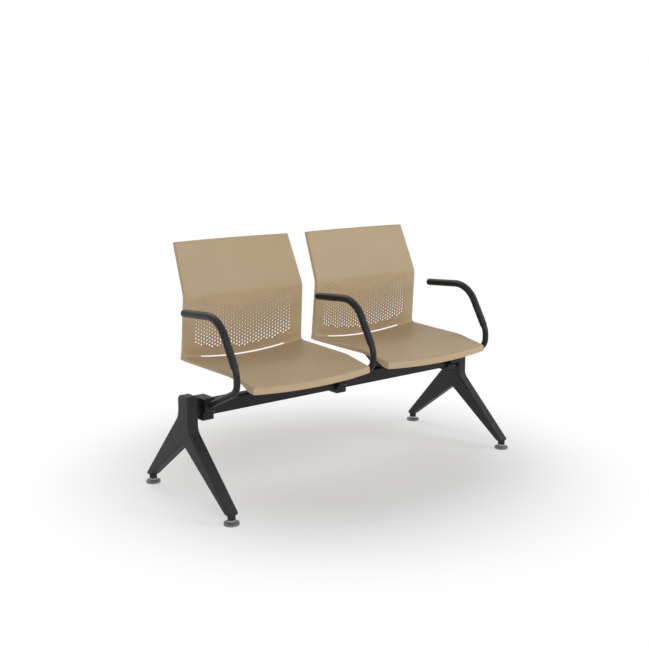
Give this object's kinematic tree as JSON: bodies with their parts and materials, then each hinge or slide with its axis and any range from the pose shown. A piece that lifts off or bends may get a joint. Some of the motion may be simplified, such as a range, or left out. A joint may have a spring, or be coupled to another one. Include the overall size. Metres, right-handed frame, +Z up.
{
  "type": "beam seating",
  "caption": "Beam seating with perforated one-piece shells on a rectangular beam, curved tube arms with grips and cast inverted-Y legs on levelling glides.",
  "frame": {"origin": "on the floor, midway between the four feet", "axes": "+X along the beam, -Y the side people sit down from, +Z up"},
  "size_m": [1.286, 0.544, 0.833],
  "materials": {
    "seat_moulding": "fine moulded grain, satin",
    "grip_moulding": "smooth satin",
    "arm_paint": "satin powder coat",
    "beam_paint": "satin powder coat",
    "leg_casting": "die-cast, fine textured black powder coat",
    "clamp_casting": "die-cast, satin black powder coat",
    "bracket_paint": "satin powder coat",
    "glide_disc": "moulded, satin",
    "glide_stud": "zinc plated",
    "fastener_steel": "black oxide"
  },
  "bodies": {
    "frame": {"beam": "beam_paint", "leg_left": "leg_casting", "leg_bolts_left": "fastener_steel", "arm_tube_left": "arm_paint", "arm_sleeve_left": "grip_moulding", "arm_clamp_left": "clamp_casting", "clamp_strap_left": "clamp_casting", "clamp_bolts_left": "fastener_steel", "seat_shell_left": "seat_moulding", "seat_carrier_left": "bracket_paint", "carrier_bolts_left": "fastener_steel", "seat_screws_left": "fastener_steel", "leg_right": "leg_casting", "leg_bolts_right": "fastener_steel", "arm_tube_right": "arm_paint", "arm_sleeve_right": "grip_moulding", "arm_clamp_right": "clamp_casting", "clamp_strap_right": "clamp_casting", "clamp_bolts_right": "fastener_steel", "seat_shell_right": "seat_moulding", "seat_carrier_right": "bracket_paint", "carrier_bolts_right": "fastener_steel", "seat_screws_right": "fastener_steel", "arm_tube_middle": "arm_paint", "arm_sleeve_middle": "grip_moulding", "arm_clamp_middle": "clamp_casting", "clamp_strap_middle": "clamp_casting", "clamp_bolts_middle": "fastener_steel"},
    "pad_left_front": {"glide_pad_left_front": "glide_disc"},
    "stem_left_front": {"glide_stem_left_front": "glide_stud"},
    "pad_left_rear": {"glide_pad_left_rear": "glide_disc"},
    "stem_left_rear": {"glide_stem_left_rear": "glide_stud"},
    "pad_right_front": {"glide_pad_right_front": "glide_disc"},
    "stem_right_front": {"glide_stem_right_front": "glide_stud"},
    "pad_right_rear": {"glide_pad_right_rear": "glide_disc"},
    "stem_right_rear": {"glide_stem_right_rear": "glide_stud"}
  },
  "joints": [
    {"name": "level_left_front", "type": "slide", "parent": "frame", "child": "pad_left_front", "axis": [0, 0, -1], "range_m": [0, 0.012]},
    {"name": "turn_left_front", "type": "hinge", "parent": "pad_left_front", "child": "stem_left_front", "pos_m": [-0.618, -0.247, 0.01], "axis": [0, 0, -1], "range_deg": [0, 2880]},
    {"name": "level_left_rear", "type": "slide", "parent": "frame", "child": "pad_left_rear", "axis": [0, 0, -1], "range_m": [0, 0.012]},
    {"name": "turn_left_rear", "type": "hinge", "parent": "pad_left_rear", "child": "stem_left_rear", "pos_m": [-0.618, 0.247, 0.01], "axis": [0, 0, -1], "range_deg": [0, 2880]},
    {"name": "level_right_front", "type": "slide", "parent": "frame", "child": "pad_right_front", "axis": [0, 0, -1], "range_m": [0, 0.012]},
    {"name": "turn_right_front", "type": "hinge", "parent": "pad_right_front", "child": "stem_right_front", "pos_m": [0.618, -0.247, 0.01], "axis": [0, 0, -1], "range_deg": [0, 2880]},
    {"name": "level_right_rear", "type": "slide", "parent": "frame", "child": "pad_right_rear", "axis": [0, 0, -1], "range_m": [0, 0.012]},
    {"name": "turn_right_rear", "type": "hinge", "parent": "pad_right_rear", "child": "stem_right_rear", "pos_m": [0.618, 0.247, 0.01], "axis": [0, 0, -1], "range_deg": [0, 2880]}
  ],
  "couplings": [
    {"joint": "turn_left_front", "follows": "level_left_front", "rad_per_m": 4188.8},
    {"joint": "turn_left_rear", "follows": "level_left_rear", "rad_per_m": 4188.8},
    {"joint": "turn_right_front", "follows": "level_right_front", "rad_per_m": 4188.8},
    {"joint": "turn_right_rear", "follows": "level_right_rear", "rad_per_m": 4188.8}
  ]
}
